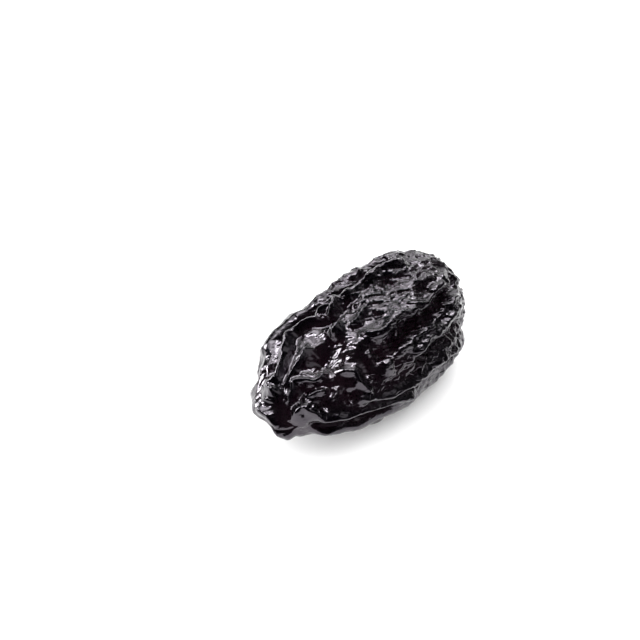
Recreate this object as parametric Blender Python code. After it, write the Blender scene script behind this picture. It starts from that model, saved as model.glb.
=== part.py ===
"""A prune: a whole plum dried until its skin has sunk into long folds round the pulp.

The prune lies on its side. +X runs along it from the blunt stem end to the rounder far end, +Z is up, and
the origin is on the surface it lies on, under the middle of its box. It is one solid: a plain plum body whose
skin is moved in and out by the folds, furrows and creases listed below.

A place on the skin is given by its station, in millimetres along the body from the middle, and by the angle
around it, in degrees: 0 is the near side (-Y), 90 the top, 180 the back and 270 the underside.
"""

import math
import random

import bmesh
import bpy
import numpy as np
from mathutils import Vector, noise

MM = 0.001  # metres in a millimetre

# The plain body, in millimetres
LENGTH = 42.6
WIDTH = 22.4
HEIGHT = 18.2
STEM_FULLNESS = 1.5  # how long the section stays wide towards each end
FAR_FULLNESS = 4.2
WIDTH_TAPER = -0.16  # the share by which the section grows from the middle to the far end
HEIGHT_TAPER = 0.26
UNDER_TAPER = 0.14  # the same for the underside
SQUARENESS = 2.2  # of the section: 2 is an ellipse
SAG = -0.4  # how far both ends hang below the middle

# The grid on the body: strips along, across and up the box that it is blown up from
STRIPS = (44, 27, 23)
GRID_TURN = 24.0  # degrees round the body, so that no edge of the box runs along the deep groove

# Relief, in millimetres
SUNK = 1.2  # how far the skin between the folds lies below the plain body
CREST_ROUNDING = 0.7  # of a fold's crest, as a share of its width
FOLD_REACH = 5.0  # how far out a fold is felt, in its own widths
END_TAPER = 2.2  # over which a fold or furrow grows at its two ends
END_SHARE = 0.15  # of its height that a fold has at its very end
BLEND = 3.0  # how firmly the higher of two folds hides the other
FURROW_REACH = 3.0  # how far out a furrow is felt, in its own widths

# The folds that stand out of the skin: height, half width, then (station, around) along the crest
FOLDS = {
    "upper ridge": (1.5, 0.7, [
        (-17.9, 88), (-17.7, 98), (-17.3, 109), (-17, 117), (-16.2, 113), (-15.4, 110), (-14.4, 112),
        (-13.3, 115), (-11.4, 122), (-10, 122.5), (-8.6, 129), (-7.6, 131), (-6.9, 129), (-5.8, 121.5),
        (-4.6, 116), (-3.9, 112),
    ]),
    "upper loop": (1.25, 0.6, [
        (-4.4, 124), (-3.4, 121.5), (-2.4, 119), (-0.8, 117), (-0.1, 116), (-0.3, 114), (-1.8, 109),
        (-2.7, 107.5), (-3.8, 107),
    ]),
    "upper ridge, far part": (1.35, 0.75, [
        (-0.1, 111), (1.5, 110), (3, 108), (4.7, 107), (7, 108), (10, 102), (13, 92),
    ]),
    "back shoulder": (0.6, 1.1, [
        (-16, 150), (-10, 150), (-4, 142), (2, 138), (6, 133), (11, 124), (15, 116),
    ]),
    "inner ridge": (1.2, 0.6, [
        (-16.4, 95), (-15.3, 96), (-14.4, 97), (-13.6, 97), (-13, 98), (-11.4, 99.5), (-10, 102), (-9, 105),
        (-8.2, 104),
    ]),
    "inner twin": (0.8, 0.45, [
        (-8, 113), (-8.8, 111), (-9.3, 109.5), (-10.4, 106.5), (-11.3, 104.5), (-12.4, 102), (-13, 98),
    ]),
    "curled end": (1.2, 0.55, [(-6.4, 90), (-5.9, 91), (-4.9, 92.5), (-3.9, 93.5), (-3, 90.5)]),
    "hook": (1.1, 0.5, [
        (-3.2, 87), (-2.6, 86), (-2, 85.5), (-1.4, 84.5), (-0.3, 86), (0.6, 87.5), (1.2, 90),
    ]),
    "hair ridge": (0.6, 0.4, [(-5.6, 100), (-4.8, 100), (-4, 100.5)]),
    "saddle rim": (1.35, 0.65, [
        (-18.1, 83), (-17.4, 77), (-17, 79), (-15.9, 83), (-15.1, 88.5), (-14.5, 87.5), (-13.6, 79),
        (-13.1, 72), (-12.2, 71), (-11.4, 72.5), (-10.8, 74.5), (-9.8, 76.5),
    ]),
    "saddle step": (0.7, 0.5, [(-13.7, 94), (-13, 88), (-12.7, 82), (-12.2, 77), (-11.3, 75)]),
    "near lip": (1.4, 0.7, [
        (-19.6, 50), (-18.5, 51.5), (-17.7, 54.5), (-17.1, 55.5), (-16.7, 52.5), (-16.5, 45), (-16, 36),
        (-15.9, 26), (-15.6, 17), (-14.2, 12), (-12, 5), (-9, -1), (-6, -6), (-2, -12), (2, -20),
    ]),
    "foot flange": (1.2, 1.1, [
        (-17.5, -12), (-15.5, -18), (-13, -24), (-9, -27), (-4, -29), (1, -30), (8, -30), (13, -28),
        (17, -18),
    ]),
    "lower ridge": (1.5, 0.75, [
        (-10.2, 24), (-8.8, 21), (-7.3, 12), (-6.1, 7), (-3.4, 3), (-1.4, 2.5), (1.2, 0.5), (4, 0),
        (6.3, -0.5), (8, -2), (12, -9), (15, -13),
    ]),
    "cross ridge": (1.25, 0.6, [
        (-10.4, 62.5), (-9.4, 61), (-8.6, 56), (-7.9, 51), (-8.1, 42), (-8, 35), (-7.8, 30), (-7.5, 23),
        (-6.7, 18),
    ]),
    "cross twin": (0.6, 0.4, [(-7.2, 41), (-6.9, 37), (-6.5, 31)]),
    "bright facet": (0.9, 0.5, [(-16, 66), (-14.9, 62.5), (-14.1, 61.5), (-13.3, 57.5), (-12.3, 55.5)]),
    "facet edge": (0.6, 0.45, [(-12.3, 55), (-11.7, 50), (-12.2, 45), (-13.2, 43), (-14, 43.5)]),
    "finger": (0.8, 0.4, [(-16, 52), (-15.7, 46), (-15.5, 38)]),
    "knob": (0.9, 0.8, [(-4.2, 40), (-2.8, 38), (-1.8, 37)]),
    "groove floor ridge": (1.3, 0.6, [
        (-1.4, 39.5), (0.4, 40), (2.1, 38.5), (3.5, 39.5), (5, 38.5), (6.9, 35.5), (9.2, 37), (10.6, 38),
        (11.7, 39.5), (13, 38), (16, 40), (18, 43),
    ]),
    "wavy ridge": (1.15, 0.6, [
        (1, 24), (2.4, 26), (3.7, 27), (4.7, 29), (5.3, 31), (6.5, 28), (7.6, 27.5), (9, 28), (11, 29),
        (13, 30), (16, 26),
    ]),
    "groove rim": (1.2, 0.7, [
        (-3.2, 76), (-2.3, 70), (-1.6, 64.5), (-0.3, 60), (1.2, 61), (2.6, 61.5), (3.8, 61.5), (4.8, 58.5),
        (5.8, 56.5), (7, 54), (8.2, 53), (9.6, 51.5), (10.8, 52), (11.6, 56), (13, 57), (14.6, 54),
        (16.5, 52),
    ]),
    "groove wrinkle 1": (0.55, 0.3, [(1.8, 59.4), (0.6, 56.5), (0.1, 52)]),
    "groove wrinkle 2": (0.6, 0.3, [(2.1, 58), (1.6, 51), (1.4, 47)]),
    "groove wrinkle 3": (0.6, 0.3, [(3.3, 57), (2.7, 51), (2.4, 48)]),
    "groove wrinkle 4": (0.5, 0.28, [(12.3, 56), (12.1, 49)]),
    "groove wrinkle 5": (0.5, 0.28, [(13.2, 55), (12.7, 49)]),
    "pocket lip": (0.7, 0.4, [(-4, 62), (-3, 57), (-1.8, 52.5), (-0.6, 50), (0.5, 50)]),
    "short ridge": (0.8, 0.5, [(-4.8, 60), (-4.3, 55), (-3.5, 50)]),
    "stem cheek": (1.6, 1.8, [(-13, 162), (-10, 158), (-7, 153), (-2, 148)]),
    "stem back corner": (1.0, 1.3, [(-15, 196), (-18, 192), (-20.4, 165), (-20.8, 120)]),
    "stem rim": (1.2, 0.8, [
        (-20.2, 170), (-20.5, 125), (-20.6, 85), (-20.8, 60), (-20.9, 10), (-20.7, -30),
    ]),
    "stem corner": (1.3, 1.4, [(-20.9, 0), (-20.8, -30), (-20.3, -50), (-18.5, -46)]),
    "stem pleat 1": (0.6, 0.35, [(-17.7, 128), (-18, 118), (-18, 105), (-18.1, 98)]),
    "stem pleat 2": (0.6, 0.35, [(-18.8, 128), (-18.8, 112), (-18.7, 101), (-18.5, 86)]),
}

# The furrows sunk between them: depth, half width, then (station, around) along the bottom
FURROWS = {
    "deep groove": (1.5, 1.5, [
        (-5, 52), (-2, 50), (0.5, 47.5), (3, 48), (5.5, 46), (8, 44.5), (10, 44), (12.5, 46), (15, 46.5),
        (19, 47),
    ]),
    "below the wavy ridge": (0.9, 0.9, [(1, 20), (4, 18), (8, 14), (12, 12), (16, 8)]),
    "below the lower ridge": (1.0, 0.7, [
        (-9, 14), (-6, 1), (-3, -4), (0, -6), (4, -8), (9, -11), (14, -19),
    ]),
    "below the near lip": (1.1, 0.9, [
        (-18, 25), (-17, 14), (-15.5, 4), (-13.5, -1), (-10.5, -8), (-7, -13), (-3, -19),
    ]),
    "behind the near lip": (0.9, 0.8, [
        (-18.4, 68), (-17, 70), (-15.7, 74), (-14.6, 74), (-13.7, 69), (-12.7, 65), (-11.3, 62),
    ]),
    "behind the upper ridge": (1.1, 0.9, [
        (-16, 127), (-13, 127), (-9, 138), (-4, 129), (0, 123), (6, 120), (12, 112),
    ]),
    "under the upper ridge": (0.8, 0.7, [
        (-16.5, 104), (-14.8, 103.5), (-13.4, 106), (-12, 110), (-10, 116), (-8, 121), (-6.3, 118),
        (-4.6, 108), (-2.5, 102), (2, 103), (6, 101),
    ]),
    "dark saddle": (0.8, 1.3, [(-12, 82), (-9.9, 84), (-8.4, 85.5), (-7.2, 86), (-5.6, 87.5), (-4, 89)]),
    "under the stem end": (0.9, 1.8, [(-16, -55), (-11, -57), (-5, -64)]),
}

# Round dimples: depth, radius, station, around
DIMPLES = {
    "pit beside the cross ridge": (0.6, 0.8, -10.3, 37),
    "small pit below it": (0.5, 0.6, -10.8, 28),
    "pit beside the finger": (0.5, 0.7, -14.8, 40),
    "dent behind the hook": (0.6, 0.9, -0.5, 96),
    "dent on the far top": (0.6, 0.9, 7.0, 93),
    "dent above the groove rim": (0.5, 0.6, 5.2, 69),
    "dent before it": (0.45, 0.7, 1.4, 73),
    "cup near the groove rim": (0.5, 0.7, 10.7, 66),
    "stem scar": (0.8, 1.8, -21.3, 0),
    "hollow of the saddle": (1.0, 3.2, -9.5, 76),
}

# The folds of the hidden half, laid by rule
BACK_FOLDS = 7
BACK_START = 172.0  # degrees around
BACK_STEP = 22.0
BACK_HEIGHT = 1.2
BACK_WIDTH = 0.95
BACK_WANDER = 9.0  # degrees to each side
BACK_ENDS = (14.0, 18.0)  # how far from the middle such a fold ends, at least and at most
BACK_KNOTS = 9  # places that each is led through
FOLD_SEED = 11

# Creases all over: a net of cells drawn out along the body, and a finer one
NETS = [
    # cell in mm, stretch along the body, height, crest width as a share of a cell, seed
    (3.6, 1.6, 0.4, 0.24, 3.0),
    (1.9, 1.2, 0.3, 0.22, 17.0),
]
CALM = 0.22  # what is left of the nets at the stem end, where the skin is smoother
CALM_FROM, CALM_TO = 6.0, -8.0  # the stations between which it calms down
LOW_CALM = 0.45  # what is left of the nets on the lower flanks
LOW_FROM, LOW_TO = 1.0, -3.5  # the heights between which they calm down, in mm from the body's middle
SWELL = 0.6  # mm that the skin between the creases bulges and dips
SWELL_SIZE = 3.0  # mm from one bulge to the next
SWELL_STRETCH = 2.0  # along the body
WARP = 0.55  # mm by which the nets and folds are pushed about
WARP_SIZE = 2.6  # mm from one push to the next
WARP_PLACES = ((9.3, 1.5, 8.0), (0.0, 0.0, 0.0), (-4.1, 5.7, 3.2))  # where the noise is read for each axis
FOLD_WARP = 0.3  # the share of that push which the folds take

# The flat spot that it lies on, in millimetres
SPOT_LENGTH = 10.0
SPOT_WIDTH = 6.0
SPOT_EDGE = 3.0  # over which the spot runs out into the folds
SPOT_RISE = 0.7  # how far the spot is pressed up above the lowest fold

SKIN_COLOUR = (0.0065, 0.0042, 0.0050, 1.0)
SKIN_ROUGHNESS = 0.24


def clear_scene():
    for item in list(bpy.data.objects):
        bpy.data.objects.remove(item)


def body_point(station, around):
    """The place on the plain body, in mm, for stations in mm and angles around in radians."""
    along = np.clip(station / (LENGTH / 2), -1.0, 1.0)
    fullness = np.where(along < 0, STEM_FULLNESS, FAR_FULLNESS)
    radius = np.sqrt(1.0 - np.abs(along) ** fullness)
    side = -np.cos(around)
    up = np.sin(around)
    square = (np.abs(side) ** SQUARENESS + np.abs(up) ** SQUARENESS) ** (-1 / SQUARENESS)
    growth = 1 + np.where(up > 0, HEIGHT_TAPER, UNDER_TAPER) * along
    return np.stack([
        LENGTH / 2 * along,
        WIDTH / 2 * (1 + WIDTH_TAPER * along) * radius * side * square,
        HEIGHT / 2 * growth * radius * up * square + SAG * along ** 2,
    ], axis=-1)


def strip_box(strips):
    """A cube from -1 to 1, cut into even strips each way."""
    box = bmesh.new()
    bmesh.ops.create_cube(box, size=2.0)
    for axis, count in enumerate(strips):
        along = [e for e in box.edges if abs(e.verts[0].co[axis] - e.verts[1].co[axis]) > 1e-6]
        bmesh.ops.subdivide_edges(box, edges=along, cuts=count - 1, use_grid_fill=True)
    return box


def to_sphere(place):
    """Moves points of the cube's surface onto the unit sphere, without crowding them at the corners."""
    square = place ** 2
    x, y, z = square[:, 0], square[:, 1], square[:, 2]
    return place * np.stack([
        np.sqrt(1 - y / 2 - z / 2 + y * z / 3),
        np.sqrt(1 - z / 2 - x / 2 + z * x / 3),
        np.sqrt(1 - x / 2 - y / 2 + x * y / 3),
    ], axis=-1)


def curve_points(route, step=0.25):
    """Points every step mm along a smooth curve through the (station, around) places of a route."""
    knots = body_point(*np.array([(s, math.radians(a)) for s, a in route]).T)
    knots = np.vstack([2 * knots[0] - knots[1], knots, 2 * knots[-1] - knots[-2]])
    points = []
    for before, start, end, after in zip(knots, knots[1:], knots[2:], knots[3:]):
        count = max(2, int(np.linalg.norm(end - start) / step))
        t = (np.arange(count) / count)[:, None]
        turn = 2 * before - 5 * start + 4 * end - after
        twist = 3 * start - before - 3 * end + after
        points.append(0.5 * (2 * start + (end - before) * t + turn * t ** 2 + twist * t ** 3))
    return np.vstack(points + [knots[-2:-1]])


def distance_to_curve(places, points, reach):
    """For each place the distance to a curve and how far along it, both in mm; beyond reach it is reach."""
    distance = np.full(len(places), reach)
    run = np.zeros(len(places))
    lengths = np.concatenate([[0], np.cumsum(np.linalg.norm(np.diff(points, axis=0), axis=1))])
    low, high = points.min(axis=0) - reach, points.max(axis=0) + reach
    near = np.nonzero(np.all((places > low) & (places < high), axis=1))[0]
    for start, end, begin in zip(points, points[1:], lengths):
        span = end - start
        size = np.linalg.norm(span)
        share = np.clip((places[near] - start) @ span / size ** 2, 0, 1)
        away = np.linalg.norm(places[near] - start - share[:, None] * span, axis=1)
        closer = away < distance[near]
        distance[near[closer]] = away[closer]
        run[near[closer]] = begin + share[closer] * size
    return distance, run, lengths[-1]


def smooth_step(value):
    value = np.clip(value, 0.0, 1.0)
    return value * value * (3 - 2 * value)


def fold_height(places, height, width, route):
    """The height in mm of one fold: a narrow crest with hollow flanks, running out at its two ends."""
    reach = FOLD_REACH * width
    away, run, length = distance_to_curve(places, curve_points(route), reach)
    grown = np.minimum(run, length - run) / min(END_TAPER, length / 3)
    ends = smooth_step(END_SHARE + (1 - END_SHARE) * grown)
    flank = np.exp(CREST_ROUNDING - np.sqrt((away / width) ** 2 + CREST_ROUNDING ** 2))
    return height * ends * flank * smooth_step((reach - away) / reach * 2)


def back_folds():
    """The folds round the hidden half: they run the length of the body, wandering."""
    pick = random.Random(FOLD_SEED)
    folds = []
    for number in range(BACK_FOLDS):
        middle = BACK_START + number * BACK_STEP
        start = -pick.uniform(*BACK_ENDS)
        end = pick.uniform(*BACK_ENDS)
        route = []
        for knot in range(BACK_KNOTS):
            station = start + (end - start) * knot / (BACK_KNOTS - 1)
            route.append((station, middle + pick.uniform(-BACK_WANDER, BACK_WANDER)))
        folds.append((BACK_HEIGHT * pick.uniform(0.8, 1.15), BACK_WIDTH * pick.uniform(0.8, 1.2), route))
    return folds


def pushed(places):
    """The places moved about a little, so that no crease runs ruled."""
    moved = places.copy()
    for number, place in enumerate(places):
        for axis, start in enumerate(WARP_PLACES):
            moved[number, axis] += WARP * noise.noise(Vector(place) / WARP_SIZE + Vector(start))
    return moved


def net_height(places, cell, stretch, height, crest, seed):
    """A net of creases whose meshes are hollow facets, drawn out along the body."""
    scaled = places / cell
    scaled[:, 0] /= stretch
    scaled += seed
    nearest = np.array([noise.voronoi(Vector(place))[0][:2] for place in scaled])
    edge = nearest[:, 1] - nearest[:, 0]
    return height * np.exp(-edge / crest)


def relief(places):
    """How far in mm the skin stands out from the plain body at each place."""
    bent = pushed(places)
    drawn = places + FOLD_WARP * (bent - places)
    total = np.zeros(len(places))
    for height, width, route in list(FOLDS.values()) + back_folds():
        total += fold_height(drawn, height, width, route) ** BLEND
    total = total ** (1 / BLEND)
    for depth, width, route in FURROWS.values():
        reach = FURROW_REACH * width
        away, run, length = distance_to_curve(drawn, curve_points(route), reach)
        ends = smooth_step(np.minimum(run, length - run) / END_TAPER)
        total -= depth * ends * np.exp(-(away / width) ** 2) * smooth_step((reach - away) / width)
    for depth, radius, station, around in DIMPLES.values():
        middle = body_point(np.array(station), np.radians(around))
        total -= depth * np.exp(-np.sum((drawn - middle) ** 2, axis=1) / radius ** 2)
    calm = 1 - (1 - CALM) * smooth_step((places[:, 0] - CALM_FROM) / (CALM_TO - CALM_FROM))
    calm *= 1 - (1 - LOW_CALM) * smooth_step((places[:, 2] - LOW_FROM) / (LOW_TO - LOW_FROM))
    for net in NETS:
        total += calm * net_height(bent.copy(), *net)
    for number, (x, y, z) in enumerate(places):
        total[number] += SWELL * noise.noise(Vector((x / SWELL_STRETCH, y, z)) / SWELL_SIZE)
    return total - SUNK


def rest_on_spot(places):
    """Presses the underside flat in a small ellipse below the middle, and brings it to z = 0."""
    floor = places[:, 2].min() + SPOT_RISE
    off_middle = places[:, :2] - places[:, :2].mean(axis=0)
    out = np.hypot(off_middle[:, 0] / (SPOT_LENGTH / 2), off_middle[:, 1] / (SPOT_WIDTH / 2))
    share = smooth_step((1 - out) * SPOT_WIDTH / 2 / SPOT_EDGE + 1)
    below = places[:, 2] < 0
    level = np.where(below, share * floor + (1 - share) * places[:, 2], places[:, 2])
    places[:, 2] = np.maximum(level, floor) - floor


def make_prune():
    form = strip_box(STRIPS)
    mesh = bpy.data.meshes.new("prune")
    form.to_mesh(mesh)
    form.free()
    corners = np.empty(len(mesh.vertices) * 3)
    mesh.vertices.foreach_get("co", corners)
    ball = to_sphere(corners.reshape(-1, 3))
    around = np.arctan2(ball[:, 2], -ball[:, 1]) + math.radians(GRID_TURN)
    plain = body_point(ball[:, 0] * LENGTH / 2, around)
    mesh.vertices.foreach_set("co", plain.ravel())
    mesh.update()
    normals = np.empty(len(mesh.vertices) * 3)
    mesh.vertices.foreach_get("normal", normals)

    skin = plain + normals.reshape(-1, 3) * relief(plain)[:, None]
    rest_on_spot(skin)
    skin[:, :2] -= (skin[:, :2].min(axis=0) + skin[:, :2].max(axis=0)) / 2
    mesh.vertices.foreach_set("co", (skin * MM).ravel())
    mesh.shade_smooth()
    mesh.update()

    prune = bpy.data.objects.new("prune", mesh)
    bpy.context.collection.objects.link(prune)
    return prune


def skin_material():
    skin = bpy.data.materials.new("prune skin")
    skin.use_nodes = True
    shader = skin.node_tree.nodes["Principled BSDF"]
    shader.inputs["Base Color"].default_value = SKIN_COLOUR
    shader.inputs["Roughness"].default_value = SKIN_ROUGHNESS
    shader.inputs["Metallic"].default_value = 0.0
    return skin


clear_scene()
prune = make_prune()
prune.data.materials.append(skin_material())
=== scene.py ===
"""The looks of a prune lying on a white table, among softboxes and lamps that its skin mirrors.

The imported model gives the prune's place and box. This script models its skin again, much finer, from the
same values as the construction, adds the small creases that a dried skin has, and gives it its glossy
black finish.

A place on the skin is given by its station, in millimetres along the body from the middle, and by the angle
around it, in degrees: 0 is the near side (-Y), 90 the top, 180 the back and 270 the underside.
"""

import math
import random

import bmesh
import bpy
import numpy as np
from mathutils import Matrix, Vector, noise


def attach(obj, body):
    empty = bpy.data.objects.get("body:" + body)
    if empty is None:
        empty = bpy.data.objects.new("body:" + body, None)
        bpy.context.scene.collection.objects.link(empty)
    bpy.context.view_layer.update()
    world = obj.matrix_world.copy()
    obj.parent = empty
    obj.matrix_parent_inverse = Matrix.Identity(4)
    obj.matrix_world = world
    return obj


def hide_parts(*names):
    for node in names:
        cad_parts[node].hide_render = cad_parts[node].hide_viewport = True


MM = 0.001  # metres in a millimetre

# The plain body, in millimetres
LENGTH = 42.6
WIDTH = 22.4
HEIGHT = 18.2
STEM_FULLNESS = 1.5  # how long the section stays wide towards each end
FAR_FULLNESS = 4.2
WIDTH_TAPER = -0.16  # the share by which the section grows from the middle to the far end
HEIGHT_TAPER = 0.26
UNDER_TAPER = 0.14  # the same for the underside
SQUARENESS = 2.2  # of the section: 2 is an ellipse
SAG = -0.4  # how far both ends hang below the middle

# The grid on the body: strips along, across and up the box that it is blown up from
STRIPS = (186, 114, 94)
GRID_TURN = 24.0  # degrees round the body, so that no edge of the box runs along the deep groove

# Relief, in millimetres
SUNK = 1.2  # how far the skin between the folds lies below the plain body
CREST_ROUNDING = 0.7  # of a fold's crest, as a share of its width
FOLD_REACH = 5.0  # how far out a fold is felt, in its own widths
END_TAPER = 2.2  # over which a fold or furrow grows at its two ends
END_SHARE = 0.15  # of its height that a fold has at its very end
BLEND = 3.0  # how firmly the higher of two folds hides the other
FURROW_REACH = 3.0  # how far out a furrow is felt, in its own widths

# The folds that stand out of the skin: height, half width, then (station, around) along the crest
FOLDS = {
    "upper ridge": (1.5, 0.7, [
        (-17.9, 88), (-17.7, 98), (-17.3, 109), (-17, 117), (-16.2, 113), (-15.4, 110), (-14.4, 112),
        (-13.3, 115), (-11.4, 122), (-10, 122.5), (-8.6, 129), (-7.6, 131), (-6.9, 129), (-5.8, 121.5),
        (-4.6, 116), (-3.9, 112),
    ]),
    "upper loop": (1.25, 0.6, [
        (-4.4, 124), (-3.4, 121.5), (-2.4, 119), (-0.8, 117), (-0.1, 116), (-0.3, 114), (-1.8, 109),
        (-2.7, 107.5), (-3.8, 107),
    ]),
    "upper ridge, far part": (1.35, 0.75, [
        (-0.1, 111), (1.5, 110), (3, 108), (4.7, 107), (7, 108), (10, 102), (13, 92),
    ]),
    "back shoulder": (0.6, 1.1, [
        (-16, 150), (-10, 150), (-4, 142), (2, 138), (6, 133), (11, 124), (15, 116),
    ]),
    "inner ridge": (1.2, 0.6, [
        (-16.4, 95), (-15.3, 96), (-14.4, 97), (-13.6, 97), (-13, 98), (-11.4, 99.5), (-10, 102), (-9, 105),
        (-8.2, 104),
    ]),
    "inner twin": (0.8, 0.45, [
        (-8, 113), (-8.8, 111), (-9.3, 109.5), (-10.4, 106.5), (-11.3, 104.5), (-12.4, 102), (-13, 98),
    ]),
    "curled end": (1.2, 0.55, [(-6.4, 90), (-5.9, 91), (-4.9, 92.5), (-3.9, 93.5), (-3, 90.5)]),
    "hook": (1.1, 0.5, [
        (-3.2, 87), (-2.6, 86), (-2, 85.5), (-1.4, 84.5), (-0.3, 86), (0.6, 87.5), (1.2, 90),
    ]),
    "hair ridge": (0.6, 0.4, [(-5.6, 100), (-4.8, 100), (-4, 100.5)]),
    "saddle rim": (1.35, 0.65, [
        (-18.1, 83), (-17.4, 77), (-17, 79), (-15.9, 83), (-15.1, 88.5), (-14.5, 87.5), (-13.6, 79),
        (-13.1, 72), (-12.2, 71), (-11.4, 72.5), (-10.8, 74.5), (-9.8, 76.5),
    ]),
    "saddle step": (0.7, 0.5, [(-13.7, 94), (-13, 88), (-12.7, 82), (-12.2, 77), (-11.3, 75)]),
    "near lip": (1.4, 0.7, [
        (-19.6, 50), (-18.5, 51.5), (-17.7, 54.5), (-17.1, 55.5), (-16.7, 52.5), (-16.5, 45), (-16, 36),
        (-15.9, 26), (-15.6, 17), (-14.2, 12), (-12, 5), (-9, -1), (-6, -6), (-2, -12), (2, -20),
    ]),
    "foot flange": (1.2, 1.1, [
        (-17.5, -12), (-15.5, -18), (-13, -24), (-9, -27), (-4, -29), (1, -30), (8, -30), (13, -28),
        (17, -18),
    ]),
    "lower ridge": (1.5, 0.75, [
        (-10.2, 24), (-8.8, 21), (-7.3, 12), (-6.1, 7), (-3.4, 3), (-1.4, 2.5), (1.2, 0.5), (4, 0),
        (6.3, -0.5), (8, -2), (12, -9), (15, -13),
    ]),
    "cross ridge": (1.25, 0.6, [
        (-10.4, 62.5), (-9.4, 61), (-8.6, 56), (-7.9, 51), (-8.1, 42), (-8, 35), (-7.8, 30), (-7.5, 23),
        (-6.7, 18),
    ]),
    "cross twin": (0.6, 0.4, [(-7.2, 41), (-6.9, 37), (-6.5, 31)]),
    "bright facet": (0.9, 0.5, [(-16, 66), (-14.9, 62.5), (-14.1, 61.5), (-13.3, 57.5), (-12.3, 55.5)]),
    "facet edge": (0.6, 0.45, [(-12.3, 55), (-11.7, 50), (-12.2, 45), (-13.2, 43), (-14, 43.5)]),
    "finger": (0.8, 0.4, [(-16, 52), (-15.7, 46), (-15.5, 38)]),
    "knob": (0.9, 0.8, [(-4.2, 40), (-2.8, 38), (-1.8, 37)]),
    "groove floor ridge": (1.3, 0.6, [
        (-1.4, 39.5), (0.4, 40), (2.1, 38.5), (3.5, 39.5), (5, 38.5), (6.9, 35.5), (9.2, 37), (10.6, 38),
        (11.7, 39.5), (13, 38), (16, 40), (18, 43),
    ]),
    "wavy ridge": (1.15, 0.6, [
        (1, 24), (2.4, 26), (3.7, 27), (4.7, 29), (5.3, 31), (6.5, 28), (7.6, 27.5), (9, 28), (11, 29),
        (13, 30), (16, 26),
    ]),
    "groove rim": (1.2, 0.7, [
        (-3.2, 76), (-2.3, 70), (-1.6, 64.5), (-0.3, 60), (1.2, 61), (2.6, 61.5), (3.8, 61.5), (4.8, 58.5),
        (5.8, 56.5), (7, 54), (8.2, 53), (9.6, 51.5), (10.8, 52), (11.6, 56), (13, 57), (14.6, 54),
        (16.5, 52),
    ]),
    "groove wrinkle 1": (0.55, 0.3, [(1.8, 59.4), (0.6, 56.5), (0.1, 52)]),
    "groove wrinkle 2": (0.6, 0.3, [(2.1, 58), (1.6, 51), (1.4, 47)]),
    "groove wrinkle 3": (0.6, 0.3, [(3.3, 57), (2.7, 51), (2.4, 48)]),
    "groove wrinkle 4": (0.5, 0.28, [(12.3, 56), (12.1, 49)]),
    "groove wrinkle 5": (0.5, 0.28, [(13.2, 55), (12.7, 49)]),
    "pocket lip": (0.7, 0.4, [(-4, 62), (-3, 57), (-1.8, 52.5), (-0.6, 50), (0.5, 50)]),
    "short ridge": (0.8, 0.5, [(-4.8, 60), (-4.3, 55), (-3.5, 50)]),
    "stem cheek": (1.6, 1.8, [(-13, 162), (-10, 158), (-7, 153), (-2, 148)]),
    "stem back corner": (1.0, 1.3, [(-15, 196), (-18, 192), (-20.4, 165), (-20.8, 120)]),
    "stem rim": (1.2, 0.8, [
        (-20.2, 170), (-20.5, 125), (-20.6, 85), (-20.8, 60), (-20.9, 10), (-20.7, -30),
    ]),
    "stem corner": (1.3, 1.4, [(-20.9, 0), (-20.8, -30), (-20.3, -50), (-18.5, -46)]),
    "stem pleat 1": (0.6, 0.35, [(-17.7, 128), (-18, 118), (-18, 105), (-18.1, 98)]),
    "stem pleat 2": (0.6, 0.35, [(-18.8, 128), (-18.8, 112), (-18.7, 101), (-18.5, 86)]),
}

# The furrows sunk between them: depth, half width, then (station, around) along the bottom
FURROWS = {
    "deep groove": (1.5, 1.5, [
        (-5, 52), (-2, 50), (0.5, 47.5), (3, 48), (5.5, 46), (8, 44.5), (10, 44), (12.5, 46), (15, 46.5),
        (19, 47),
    ]),
    "below the wavy ridge": (0.9, 0.9, [(1, 20), (4, 18), (8, 14), (12, 12), (16, 8)]),
    "below the lower ridge": (1.0, 0.7, [
        (-9, 14), (-6, 1), (-3, -4), (0, -6), (4, -8), (9, -11), (14, -19),
    ]),
    "below the near lip": (1.1, 0.9, [
        (-18, 25), (-17, 14), (-15.5, 4), (-13.5, -1), (-10.5, -8), (-7, -13), (-3, -19),
    ]),
    "behind the near lip": (0.9, 0.8, [
        (-18.4, 68), (-17, 70), (-15.7, 74), (-14.6, 74), (-13.7, 69), (-12.7, 65), (-11.3, 62),
    ]),
    "behind the upper ridge": (1.1, 0.9, [
        (-16, 127), (-13, 127), (-9, 138), (-4, 129), (0, 123), (6, 120), (12, 112),
    ]),
    "under the upper ridge": (0.8, 0.7, [
        (-16.5, 104), (-14.8, 103.5), (-13.4, 106), (-12, 110), (-10, 116), (-8, 121), (-6.3, 118),
        (-4.6, 108), (-2.5, 102), (2, 103), (6, 101),
    ]),
    "dark saddle": (0.8, 1.3, [(-12, 82), (-9.9, 84), (-8.4, 85.5), (-7.2, 86), (-5.6, 87.5), (-4, 89)]),
    "under the stem end": (0.9, 1.8, [(-16, -55), (-11, -57), (-5, -64)]),
}

# Round dimples: depth, radius, station, around
DIMPLES = {
    "pit beside the cross ridge": (0.6, 0.8, -10.3, 37),
    "small pit below it": (0.5, 0.6, -10.8, 28),
    "pit beside the finger": (0.5, 0.7, -14.8, 40),
    "dent behind the hook": (0.6, 0.9, -0.5, 96),
    "dent on the far top": (0.6, 0.9, 7.0, 93),
    "dent above the groove rim": (0.5, 0.6, 5.2, 69),
    "dent before it": (0.45, 0.7, 1.4, 73),
    "cup near the groove rim": (0.5, 0.7, 10.7, 66),
    "stem scar": (0.8, 1.8, -21.3, 0),
    "hollow of the saddle": (1.0, 3.2, -9.5, 76),
}

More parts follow.
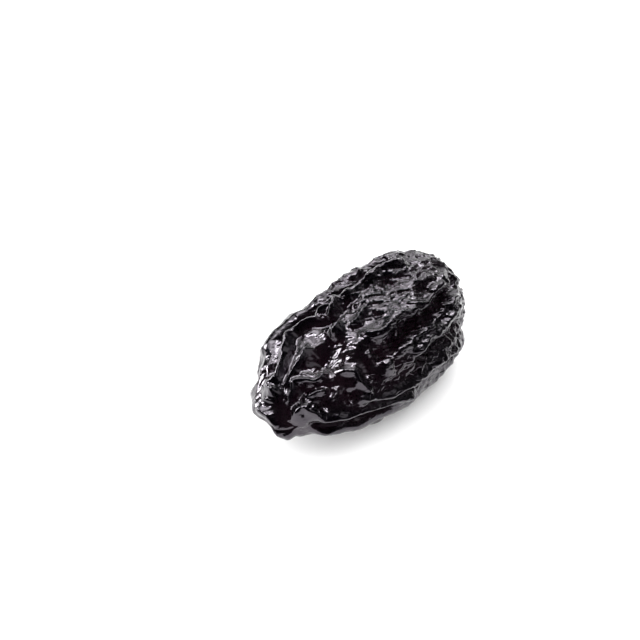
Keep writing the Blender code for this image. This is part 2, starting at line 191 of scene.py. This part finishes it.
# The folds of the hidden half, laid by rule
BACK_FOLDS = 7
BACK_START = 172.0  # degrees around
BACK_STEP = 22.0
BACK_HEIGHT = 1.2
BACK_WIDTH = 0.95
BACK_WANDER = 9.0  # degrees to each side
BACK_ENDS = (14.0, 18.0)  # how far from the middle such a fold ends, at least and at most
BACK_KNOTS = 9  # places that each is led through
FOLD_SEED = 11

# Creases all over: a net of cells drawn out along the body, and a finer one
NETS = [
    # cell in mm, stretch along the body, height, crest width as a share of a cell, seed
    (3.6, 1.6, 0.4, 0.24, 3.0),
    (1.9, 1.2, 0.3, 0.22, 17.0),
]
CALM = 0.22  # what is left of the nets at the stem end, where the skin is smoother
CALM_FROM, CALM_TO = 6.0, -8.0  # the stations between which it calms down
LOW_CALM = 0.45  # what is left of the nets on the lower flanks
LOW_FROM, LOW_TO = 1.0, -3.5  # the heights between which they calm down, in mm from the body's middle
SWELL = 0.6  # mm that the skin between the creases bulges and dips
SWELL_SIZE = 3.0  # mm from one bulge to the next
SWELL_STRETCH = 2.0  # along the body
WARP = 0.55  # mm by which the nets and folds are pushed about
WARP_SIZE = 2.6  # mm from one push to the next
WARP_PLACES = ((9.3, 1.5, 8.0), (0.0, 0.0, 0.0), (-4.1, 5.7, 3.2))  # where the noise is read for each axis
FOLD_WARP = 0.3  # the share of that push which the folds take

# The flat spot that it lies on, in millimetres
SPOT_LENGTH = 10.0
SPOT_WIDTH = 6.0
SPOT_EDGE = 3.0  # over which the spot runs out into the folds
SPOT_RISE = 0.7  # how far the spot is pressed up above the lowest fold

# How far in mm below the plain body the skin starts to count as sunk, and counts fully
HOLLOW_FROM, HOLLOW_TO = -0.2, 1.6

# The small creases, which only the finished skin has, in millimetres
FINE_SPACING = 1.15  # from one long crease to the next
FINE_HEIGHT = 0.2
FINE_STRETCH = 4.5  # how many times longer than wide they are drawn
FINE_TURN = -35.0  # degrees from the body's length to the way they run
FINE_SEED = 4.0
NET_SPACING = 0.85  # from one crease of the net between them to the next
NET_HEIGHT = 0.09
NET_SEED = 9.0
LINE_WIDTH = 0.13  # how far from its middle the noise behind a crease still raises it
FINE_SINK = 0.4  # the share of a long crease's height by which the skin is first let in, to keep its size
FINE_FROM, FINE_TO = -9.0, 6.0  # the stations between which the small creases set in
FINE_STEM = 0.18  # what there is of them at the stem end
LOW_NEAR, LOW_FAR = 0.2, 9.0  # the heights between which they set in: the flat spot stays flat

# The relief too small for the mesh, in millimetres. The skin's real grain is finer than the picture shows,
# so it is drawn as coarse as it takes to break up a glint.
WRINKLE_SPACING = 0.55  # from one hair-fine wrinkle to the next
WRINKLE_STRETCH = 4.0
WRINKLE_DEPTH = 0.09
WRINKLE_SEED = 2.0
BLISTER_SPACING = 1.9  # from one small blister to the next
BLISTER_RADIUS = 0.24
BLISTER_HEIGHT = 0.07
GRAIN_SIZE = 0.35
GRAIN_DEPTH = 0.01

# The skin's colour
PLAIN_COLOUR = "#030204"
SUNK_COLOUR = "#0D0509"  # the redder one of its hollows
PATCH_SIZE = 6.0  # mm from a redder patch to the next
REDDER_FROM, REDDER_TO = 0.1, 0.6  # the shares of patch and hollow between which one gives way to the other

# The skin's polish
SYRUP_SIZE = 1.6  # mm from a more polished patch to the next
SYRUP_FROM, SYRUP_TO = 0.3, 0.7  # the noise behind the most and the least polished patches
ROUGHNESS = (0.1, 0.22)  # of those patches at the stem end
DULLER = 0.02  # more than that at the far end
DULL_FROM, DULL_TO = -9.0, 4.0  # the stations between which it gets duller

# The camera, at the photograph's viewing angle
AZIMUTH = -48.0
ELEVATION = 43.0
LENS = 250.0  # a long lens, so the prune is hardly drawn in perspective
SENSOR = 36.0
PICTURE = 640  # pixels
MM_PER_PIXEL = 0.1527  # at the prune
ORIGIN_PIXEL = (358.5, 394.4)  # where the prune's origin lies in the picture

# The lights that the skin mirrors: (right of, away from, above) the prune in metres, width, height, radiance
LIGHTS = {
    "overhead softbox": ((-0.05, 0.29, 0.37), 0.46, 0.34, 2.35),
    "softbox middle": ((-0.06, 0.25, 0.37), 0.20, 0.15, 5.0),
    "pale wall": ((0.05, 0.55, 0.16), 0.60, 0.26, 1.5),
    "side softbox": ((-0.40, 0.26, 0.17), 0.13, 0.13, 24.0),
    "dim reflector": ((0.34, 0.02, 0.31), 0.20, 0.20, 0.9),
    "strip lamp": ((0.08, 0.22, 0.34), 0.03, 0.20, 32.0),
    "small lamp": ((-0.18, 0.08, 0.34), 0.05, 0.08, 55.0),
}
FILL = 2.9  # the even light of the room, on the table most of all; the skin doesn't mirror it

# The table and the black card that stands on it, in metres
TABLE_RADIUS = 1.5
CARD_RIGHT = 0.06  # of the prune
CARD_NEAR, CARD_FAR = -0.09, 0.06  # how far its two edges are away from the prune
CARD_HEIGHT = 0.05


def body_point(station, around):
    """The place on the plain body, in mm, for stations in mm and angles around in radians."""
    along = np.clip(station / (LENGTH / 2), -1.0, 1.0)
    fullness = np.where(along < 0, STEM_FULLNESS, FAR_FULLNESS)
    radius = np.sqrt(1.0 - np.abs(along) ** fullness)
    side = -np.cos(around)
    up = np.sin(around)
    square = (np.abs(side) ** SQUARENESS + np.abs(up) ** SQUARENESS) ** (-1 / SQUARENESS)
    growth = 1 + np.where(up > 0, HEIGHT_TAPER, UNDER_TAPER) * along
    return np.stack([
        LENGTH / 2 * along,
        WIDTH / 2 * (1 + WIDTH_TAPER * along) * radius * side * square,
        HEIGHT / 2 * growth * radius * up * square + SAG * along ** 2,
    ], axis=-1)


def strip_box(strips):
    """A cube from -1 to 1, cut into even strips each way."""
    box = bmesh.new()
    bmesh.ops.create_cube(box, size=2.0)
    for axis, count in enumerate(strips):
        along = [e for e in box.edges if abs(e.verts[0].co[axis] - e.verts[1].co[axis]) > 1e-6]
        bmesh.ops.subdivide_edges(box, edges=along, cuts=count - 1, use_grid_fill=True)
    return box


def to_sphere(place):
    """Moves points of the cube's surface onto the unit sphere, without crowding them at the corners."""
    square = place ** 2
    x, y, z = square[:, 0], square[:, 1], square[:, 2]
    return place * np.stack([
        np.sqrt(1 - y / 2 - z / 2 + y * z / 3),
        np.sqrt(1 - z / 2 - x / 2 + z * x / 3),
        np.sqrt(1 - x / 2 - y / 2 + x * y / 3),
    ], axis=-1)


def curve_points(route, step=0.25):
    """Points every step mm along a smooth curve through the (station, around) places of a route."""
    knots = body_point(*np.array([(s, math.radians(a)) for s, a in route]).T)
    knots = np.vstack([2 * knots[0] - knots[1], knots, 2 * knots[-1] - knots[-2]])
    points = []
    for before, start, end, after in zip(knots, knots[1:], knots[2:], knots[3:]):
        count = max(2, int(np.linalg.norm(end - start) / step))
        t = (np.arange(count) / count)[:, None]
        turn = 2 * before - 5 * start + 4 * end - after
        twist = 3 * start - before - 3 * end + after
        points.append(0.5 * (2 * start + (end - before) * t + turn * t ** 2 + twist * t ** 3))
    return np.vstack(points + [knots[-2:-1]])


def distance_to_curve(places, points, reach):
    """For each place the distance to a curve and how far along it, both in mm; beyond reach it is reach."""
    distance = np.full(len(places), reach)
    run = np.zeros(len(places))
    lengths = np.concatenate([[0], np.cumsum(np.linalg.norm(np.diff(points, axis=0), axis=1))])
    low, high = points.min(axis=0) - reach, points.max(axis=0) + reach
    near = np.nonzero(np.all((places > low) & (places < high), axis=1))[0]
    for start, end, begin in zip(points, points[1:], lengths):
        span = end - start
        size = np.linalg.norm(span)
        share = np.clip((places[near] - start) @ span / size ** 2, 0, 1)
        away = np.linalg.norm(places[near] - start - share[:, None] * span, axis=1)
        closer = away < distance[near]
        distance[near[closer]] = away[closer]
        run[near[closer]] = begin + share[closer] * size
    return distance, run, lengths[-1]


def smooth_step(value):
    """0 below 0, 1 above 1, and a smooth run between."""
    value = np.clip(value, 0.0, 1.0)
    return value * value * (3 - 2 * value)


def fold_height(places, height, width, route):
    """The height in mm of one fold: a narrow crest with hollow flanks, running out at its two ends."""
    reach = FOLD_REACH * width
    away, run, length = distance_to_curve(places, curve_points(route), reach)
    grown = np.minimum(run, length - run) / min(END_TAPER, length / 3)
    ends = smooth_step(END_SHARE + (1 - END_SHARE) * grown)
    flank = np.exp(CREST_ROUNDING - np.sqrt((away / width) ** 2 + CREST_ROUNDING ** 2))
    return height * ends * flank * smooth_step((reach - away) / reach * 2)


def back_folds():
    """The folds round the hidden half: they run the length of the body, wandering."""
    pick = random.Random(FOLD_SEED)
    folds = []
    for number in range(BACK_FOLDS):
        middle = BACK_START + number * BACK_STEP
        start = -pick.uniform(*BACK_ENDS)
        end = pick.uniform(*BACK_ENDS)
        route = []
        for knot in range(BACK_KNOTS):
            station = start + (end - start) * knot / (BACK_KNOTS - 1)
            route.append((station, middle + pick.uniform(-BACK_WANDER, BACK_WANDER)))
        folds.append((BACK_HEIGHT * pick.uniform(0.8, 1.15), BACK_WIDTH * pick.uniform(0.8, 1.2), route))
    return folds


def pushed(places):
    """The places moved about a little, so that no crease runs ruled."""
    moved = places.copy()
    for number, place in enumerate(places):
        for axis, start in enumerate(WARP_PLACES):
            moved[number, axis] += WARP * noise.noise(Vector(place) / WARP_SIZE + Vector(start))
    return moved


def net_height(places, cell, stretch, height, crest, seed):
    """A net of creases whose meshes are hollow facets, drawn out along the body."""
    scaled = places / cell
    scaled[:, 0] /= stretch
    scaled += seed
    nearest = np.array([noise.voronoi(Vector(place))[0][:2] for place in scaled])
    edge = nearest[:, 1] - nearest[:, 0]
    return height * np.exp(-edge / crest)


def relief(places):
    """How far in mm the skin stands out from the plain body at each place."""
    bent = pushed(places)
    drawn = places + FOLD_WARP * (bent - places)
    total = np.zeros(len(places))
    for height, width, route in list(FOLDS.values()) + back_folds():
        total += fold_height(drawn, height, width, route) ** BLEND
    total = total ** (1 / BLEND)
    for depth, width, route in FURROWS.values():
        reach = FURROW_REACH * width
        away, run, length = distance_to_curve(drawn, curve_points(route), reach)
        ends = smooth_step(np.minimum(run, length - run) / END_TAPER)
        total -= depth * ends * np.exp(-(away / width) ** 2) * smooth_step((reach - away) / width)
    for depth, radius, station, around in DIMPLES.values():
        middle = body_point(np.array(station), np.radians(around))
        total -= depth * np.exp(-np.sum((drawn - middle) ** 2, axis=1) / radius ** 2)
    calm = 1 - (1 - CALM) * smooth_step((places[:, 0] - CALM_FROM) / (CALM_TO - CALM_FROM))
    calm *= 1 - (1 - LOW_CALM) * smooth_step((places[:, 2] - LOW_FROM) / (LOW_TO - LOW_FROM))
    for net in NETS:
        total += calm * net_height(bent.copy(), *net)
    for number, (x, y, z) in enumerate(places):
        total[number] += SWELL * noise.noise(Vector((x / SWELL_STRETCH, y, z)) / SWELL_SIZE)
    return total - SUNK


def rest_on_spot(places):
    """Presses the underside flat in a small ellipse below the middle, and brings it to z = 0."""
    floor = places[:, 2].min() + SPOT_RISE
    off_middle = places[:, :2] - places[:, :2].mean(axis=0)
    out = np.hypot(off_middle[:, 0] / (SPOT_LENGTH / 2), off_middle[:, 1] / (SPOT_WIDTH / 2))
    share = smooth_step((1 - out) * SPOT_WIDTH / 2 / SPOT_EDGE + 1)
    below = places[:, 2] < 0
    level = np.where(below, share * floor + (1 - share) * places[:, 2], places[:, 2])
    places[:, 2] = np.maximum(level, floor) - floor


def make_skin():
    """The prune's skin, fine enough to carry its small creases; its hollow attribute says how sunk it is."""
    form = strip_box(STRIPS)
    mesh = bpy.data.meshes.new("prune_skin")
    form.to_mesh(mesh)
    form.free()
    corners = np.empty(len(mesh.vertices) * 3)
    mesh.vertices.foreach_get("co", corners)
    ball = to_sphere(corners.reshape(-1, 3))
    around = np.arctan2(ball[:, 2], -ball[:, 1]) + math.radians(GRID_TURN)
    plain = body_point(ball[:, 0] * LENGTH / 2, around)
    mesh.vertices.foreach_set("co", plain.ravel())
    mesh.update()
    normals = np.empty(len(mesh.vertices) * 3)
    mesh.vertices.foreach_get("normal", normals)

    height = relief(plain)
    skin = plain + normals.reshape(-1, 3) * height[:, None]
    rest_on_spot(skin)
    skin[:, :2] -= (skin[:, :2].min(axis=0) + skin[:, :2].max(axis=0)) / 2
    mesh.vertices.foreach_set("co", (skin * MM).ravel())
    sunk = smooth_step((-height - HOLLOW_FROM) / (HOLLOW_TO - HOLLOW_FROM))
    hollow = mesh.attributes.new("hollow", "FLOAT", "POINT")
    hollow.data.foreach_set("value", sunk.astype(np.float32))
    mesh.shade_smooth()
    mesh.update()

    piece = bpy.data.objects.new("prune_skin", mesh)
    bpy.context.collection.objects.link(piece)
    return piece


def add(tree, kind, settings, inputs):
    """Adds a node: settings are its properties, and an input takes a value or the socket that feeds it."""
    node = tree.nodes.new(kind)
    for name, value in settings.items():
        setattr(node, name, value)
    for name, value in inputs.items():
        if isinstance(value, bpy.types.NodeSocket):
            tree.links.new(value, node.inputs[name])
        else:
            node.inputs[name].default_value = value
    return node


def colour(hexa):
    """An sRGB hex colour as the linear colour that a shader takes."""
    parts = [int(hexa[i:i + 2], 16) / 255 for i in (1, 3, 5)]
    return tuple(p / 12.92 if p <= 0.04045 else ((p + 0.055) / 1.055) ** 2.4 for p in parts) + (1.0,)


def rising(tree, value, start, end, low=0.0, high=1.0):
    """A smooth run from low to high while the value goes from start to end, both in mm."""
    return add(tree, "ShaderNodeMapRange", {"interpolation_type": "SMOOTHSTEP"}, {
        "Value": value,
        "From Min": start * MM,
        "From Max": end * MM,
        "To Min": low,
        "To Max": high,
    }).outputs[0]


def crease_lines(tree, place, spacing, stretch, seed):
    """Thin lines where a cloud of noise crosses its middle: 1 on a line, falling to 0 beside it.

    The cloud repeats over two spacings, because it crosses its middle about twice on the way.
    """
    turned = add(tree, "ShaderNodeVectorRotate", {"rotation_type": "Z_AXIS"},
                 {"Vector": place, "Angle": -math.radians(FINE_TURN)}).outputs[0]
    squeeze = add(tree, "ShaderNodeCombineXYZ", {}, {0: stretch, 1: 1.0, 2: 1.0}).outputs[0]
    drawn = add(tree, "ShaderNodeVectorMath", {"operation": "DIVIDE"}, {0: turned, 1: squeeze}).outputs[0]
    scale = add(tree, "ShaderNodeMath", {"operation": "DIVIDE"}, {0: 0.5, 1: spacing}).outputs[0]
    cloud = add(tree, "ShaderNodeTexNoise", {"noise_dimensions": "4D"}, {
        "Vector": drawn,
        "W": seed,
        "Scale": scale,
        "Detail": 1.0,
        "Roughness": 0.45,
        "Distortion": 0.6,
    }).outputs[0]
    off = add(tree, "ShaderNodeMath", {"operation": "SUBTRACT"}, {0: cloud, 1: 0.5}).outputs[0]
    off = add(tree, "ShaderNodeMath", {"operation": "ABSOLUTE"}, {0: off}).outputs[0]
    return add(tree, "ShaderNodeMapRange", {"interpolation_type": "SMOOTHERSTEP"},
               {"Value": off, "From Min": LINE_WIDTH, "From Max": 0.0}).outputs[0]


def small_creases():
    """Geometry Nodes that raise the small creases: long ones, and a fine net between them."""
    tree = bpy.data.node_groups.new("small creases", "GeometryNodeTree")
    sizes = {
        "Skin": ("NodeSocketGeometry", None),
        "Long Spacing": ("NodeSocketFloat", FINE_SPACING * MM),
        "Long Height": ("NodeSocketFloat", FINE_HEIGHT * MM),
        "Long Stretch": ("NodeSocketFloat", FINE_STRETCH),
        "Net Spacing": ("NodeSocketFloat", NET_SPACING * MM),
        "Net Height": ("NodeSocketFloat", NET_HEIGHT * MM),
        "Finish": ("NodeSocketMaterial", None),
    }
    for name, (kind, value) in sizes.items():
        socket = tree.interface.new_socket(name, in_out="INPUT", socket_type=kind)
        if value is not None:
            socket.default_value = value
    tree.interface.new_socket("Skin", in_out="OUTPUT", socket_type="NodeSocketGeometry")
    given = add(tree, "NodeGroupInput", {}, {}).outputs
    place = add(tree, "GeometryNodeInputPosition", {}, {}).outputs[0]
    axes = add(tree, "ShaderNodeSeparateXYZ", {}, {0: place}).outputs

    long_lines = crease_lines(tree, place, given["Long Spacing"], given["Long Stretch"], FINE_SEED)
    net_lines = crease_lines(tree, place, given["Net Spacing"], 1.0, NET_SEED)
    farther = rising(tree, axes[0], FINE_FROM, FINE_TO, FINE_STEM)
    off_table = rising(tree, axes[2], LOW_NEAR, LOW_FAR)
    net_rise = add(tree, "ShaderNodeMath", {"operation": "MULTIPLY"},
                   {0: net_lines, 1: given["Net Height"]}).outputs[0]
    both = add(tree, "ShaderNodeMath", {"operation": "MULTIPLY_ADD"},
               {0: long_lines, 1: given["Long Height"], 2: net_rise}).outputs[0]
    both = add(tree, "ShaderNodeMath", {"operation": "MULTIPLY"}, {0: both, 1: farther}).outputs[0]
    sunk = add(tree, "ShaderNodeMath", {"operation": "MULTIPLY_ADD"},
               {0: given["Long Height"], 1: -FINE_SINK, 2: both}).outputs[0]
    rise = add(tree, "ShaderNodeMath", {"operation": "MULTIPLY"}, {0: sunk, 1: off_table}).outputs[0]
    outward = add(tree, "GeometryNodeInputNormal", {}, {}).outputs[0]
    step = add(tree, "ShaderNodeVectorMath", {"operation": "SCALE"},
               {"Vector": outward, "Scale": rise}).outputs[0]
    raised = add(tree, "GeometryNodeSetPosition", {},
                 {"Geometry": given["Skin"], "Offset": step}).outputs[0]
    real = add(tree, "GeometryNodeRealizeInstances", {}, {0: raised}).outputs[0]
    finished = add(tree, "GeometryNodeSetMaterial", {},
                   {"Geometry": real, "Material": given["Finish"]}).outputs[0]
    add(tree, "NodeGroupOutput", {}, {0: finished})
    return tree


def raise_creases(piece, finish):
    """Runs the small creases on a piece and keeps the result as its plain mesh."""
    tree = small_creases()
    modifier = piece.modifiers.new("small creases", "NODES")
    modifier.node_group = tree
    socket = next(s for s in tree.interface.items_tree if s.name == "Finish")
    modifier[socket.identifier] = finish
    seen = piece.evaluated_get(bpy.context.evaluated_depsgraph_get())
    mesh = bpy.data.meshes.new_from_object(seen)
    piece.modifiers.remove(modifier)
    piece.data = mesh
    mesh.shade_smooth()


def dried_plum_skin():
    """Dried plum skin: tough, black with a purple cast, polished by its own syrup, redder where it is sunk.

    The eye gets broad mirror-like glints at the smoother stem end, and duller, finely wrinkled ones at the
    far end.
    """
    skin = bpy.data.materials.new("dried plum skin")
    skin.use_nodes = True
    tree = skin.node_tree
    shader = tree.nodes["Principled BSDF"]
    place = add(tree, "ShaderNodeTexCoord", {}, {}).outputs["Object"]
    along = add(tree, "ShaderNodeSeparateXYZ", {}, {0: place}).outputs[0]
    hollow = add(tree, "ShaderNodeAttribute", {"attribute_name": "hollow"}, {}).outputs["Fac"]

    patches = add(tree, "ShaderNodeTexNoise", {},
                  {"Vector": place, "Scale": 1 / (PATCH_SIZE * MM), "Detail": 3.0}).outputs[0]
    warmth = add(tree, "ShaderNodeMath", {"operation": "MULTIPLY"}, {0: patches, 1: hollow}).outputs[0]
    ramp = add(tree, "ShaderNodeValToRGB", {}, {"Fac": warmth})
    ramp.color_ramp.elements[0].position = REDDER_FROM
    ramp.color_ramp.elements[0].color = colour(PLAIN_COLOUR)
    ramp.color_ramp.elements[1].position = REDDER_TO
    ramp.color_ramp.elements[1].color = colour(SUNK_COLOUR)
    tree.links.new(ramp.outputs["Color"], shader.inputs["Base Color"])

    syrup = add(tree, "ShaderNodeTexNoise", {},
                {"Vector": place, "Scale": 1 / (SYRUP_SIZE * MM), "Detail": 4.0}).outputs[0]
    polish = add(tree, "ShaderNodeMapRange", {}, {
        "Value": syrup,
        "From Min": SYRUP_FROM,
        "From Max": SYRUP_TO,
        "To Min": ROUGHNESS[0],
        "To Max": ROUGHNESS[1],
    }).outputs[0]
    duller = rising(tree, along, DULL_FROM, DULL_TO, 0.0, DULLER)
    rough = add(tree, "ShaderNodeMath", {"operation": "ADD"}, {0: polish, 1: duller}).outputs[0]
    tree.links.new(rough, shader.inputs["Roughness"])

    grain = add(tree, "ShaderNodeTexNoise", {},
                {"Vector": place, "Scale": 1 / (GRAIN_SIZE * MM), "Detail": 3.0, "Roughness": 0.6}).outputs[0]
    grained = add(tree, "ShaderNodeBump", {}, {"Distance": GRAIN_DEPTH * MM, "Height": grain}).outputs[0]
    cell = add(tree, "ShaderNodeTexVoronoi", {},
               {"Vector": place, "Scale": 1 / (BLISTER_SPACING * MM)}).outputs[0]
    blister = add(tree, "ShaderNodeMapRange", {"interpolation_type": "SMOOTHSTEP"},
                  {"Value": cell, "From Min": BLISTER_RADIUS / BLISTER_SPACING, "From Max": 0.0}).outputs[0]
    blistered = add(tree, "ShaderNodeBump", {},
                    {"Distance": BLISTER_HEIGHT * MM, "Height": blister, "Normal": grained}).outputs[0]
    lines = crease_lines(tree, place, WRINKLE_SPACING * MM, WRINKLE_STRETCH, WRINKLE_SEED)
    farther = rising(tree, along, FINE_FROM, FINE_TO, FINE_STEM)
    wrinkles = add(tree, "ShaderNodeMath", {"operation": "MULTIPLY"}, {0: lines, 1: farther}).outputs[0]
    wrinkled = add(tree, "ShaderNodeBump", {},
                   {"Distance": WRINKLE_DEPTH * MM, "Height": wrinkles, "Normal": blistered}).outputs[0]
    tree.links.new(wrinkled, shader.inputs["Normal"])

    shader.inputs["IOR"].default_value = 1.52
    shader.inputs["Specular Tint"].default_value = colour("#FAEEFF")
    shader.inputs["Coat Weight"].default_value = 0.2
    shader.inputs["Coat Roughness"].default_value = 0.05
    return skin


def view_axes():
    """Right, up and towards the camera, for the photograph's view."""
    a, e = math.radians(AZIMUTH), math.radians(ELEVATION)
    right = Vector((math.cos(a), math.sin(a), 0))
    up = Vector((-math.sin(a) * math.sin(e), math.cos(a) * math.sin(e), math.cos(e)))
    back = Vector((math.sin(a) * math.cos(e), -math.cos(a) * math.cos(e), math.sin(e)))
    return right, up, back


def make_camera():
    """The camera, placed so that the prune's origin falls on its own pixel of the picture."""
    right, up, back = view_axes()
    data = bpy.data.cameras.new("camera")
    data.lens = LENS
    data.sensor_width = SENSOR
    camera = bpy.data.objects.new("camera", data)
    bpy.context.collection.objects.link(camera)
    scale = MM_PER_PIXEL * MM
    aim = right * (PICTURE / 2 - ORIGIN_PIXEL[0]) * scale + up * (ORIGIN_PIXEL[1] - PICTURE / 2) * scale
    distance = LENS / SENSOR * PICTURE * scale
    turn = Matrix((right, up, back)).transposed().to_4x4()
    camera.matrix_world = Matrix.Translation(aim + back * distance) @ turn
    data.clip_start = 0.01
    data.clip_end = 10.0
    bpy.context.scene.camera = camera


def floor_axes():
    """Right and away from the camera, level with the table."""
    right = view_axes()[0]
    return right, Vector((-right.y, right.x, 0))


def matt_material(name, hexa, roughness):
    """A plain matt material, for what isn't part of the prune."""
    matt = bpy.data.materials.new(name)
    matt.use_nodes = True
    shader = matt.node_tree.nodes["Principled BSDF"]
    shader.inputs["Base Color"].default_value = colour(hexa)
    shader.inputs["Roughness"].default_value = roughness
    return matt


def make_panel(name, place, wide, high, radiance):
    """A flat light of an even radiance that faces the prune and shows only in mirror images."""
    right, away = floor_axes()
    light = bpy.data.lights.new(name, "AREA")
    light.shape = "RECTANGLE"
    light.size = wide
    light.size_y = high
    light.energy = radiance * math.pi * wide * high
    panel = bpy.data.objects.new(name, light)
    bpy.context.collection.objects.link(panel)
    panel.location = right * place[0] + away * place[1] + Vector((0, 0, place[2]))
    aim = Vector((0, 0, HEIGHT / 2 * MM)) - panel.location
    panel.rotation_euler = aim.to_track_quat("-Z", "Y").to_euler()
    panel.visible_camera = False
    panel.visible_diffuse = False


def make_table():
    """The white table that the prune lies on."""
    bpy.ops.mesh.primitive_circle_add(vertices=64, radius=TABLE_RADIUS, fill_type="NGON")
    table = bpy.context.object
    table.name = "table"
    table.data.materials.append(matt_material("white table laminate", "#F4F4F4", 0.7))


def make_card():
    """A black card out of the picture at the right, which darkens what the skin mirrors from there."""
    right, away = floor_axes()
    outline = ((CARD_NEAR, 0.0), (CARD_FAR, 0.0), (CARD_FAR, CARD_HEIGHT), (CARD_NEAR, CARD_HEIGHT))
    corners = [right * CARD_RIGHT + away * side + Vector((0, 0, up)) for side, up in outline]
    mesh = bpy.data.meshes.new("black card")
    mesh.from_pydata(corners, [], [(0, 1, 2, 3)])
    card = bpy.data.objects.new("black card", mesh)
    bpy.context.collection.objects.link(card)
    mesh.materials.append(matt_material("black paper", "#0C0C0C", 0.9))
    card.visible_camera = False


def make_studio():
    """The table and the card, the lights that the skin mirrors, and the even fill that it doesn't."""
    make_table()
    make_card()
    for name, (place, wide, high, radiance) in LIGHTS.items():
        make_panel(name, place, wide, high, radiance)

    world = bpy.data.worlds.new("studio")
    world.use_nodes = True
    world.cycles_visibility.glossy = False
    bpy.context.scene.world = world
    tree = world.node_tree
    seen = add(tree, "ShaderNodeLightPath", {}, {}).outputs["Is Camera Ray"]
    fill = tree.nodes["Background"]
    fill.inputs["Color"].default_value = (FILL, FILL, FILL, 1)
    pale = add(tree, "ShaderNodeBackground", {}, {"Color": (1, 1, 1, 1)}).outputs[0]
    mixed = add(tree, "ShaderNodeMixShader", {}, {0: seen, 1: fill.outputs[0], 2: pale}).outputs[0]
    tree.links.new(mixed, tree.nodes["World Output"].inputs["Surface"])
    bpy.context.scene.view_settings.view_transform = "Standard"


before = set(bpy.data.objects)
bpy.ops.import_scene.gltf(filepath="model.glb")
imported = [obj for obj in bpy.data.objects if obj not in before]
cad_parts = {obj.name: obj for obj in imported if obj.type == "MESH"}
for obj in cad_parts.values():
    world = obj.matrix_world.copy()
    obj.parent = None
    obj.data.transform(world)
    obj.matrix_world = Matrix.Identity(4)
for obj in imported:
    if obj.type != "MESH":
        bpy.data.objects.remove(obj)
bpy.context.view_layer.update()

make_camera()
make_studio()
skin_piece = make_skin()
finish = dried_plum_skin()
raise_creases(skin_piece, finish)
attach(skin_piece, "root")
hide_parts("prune")
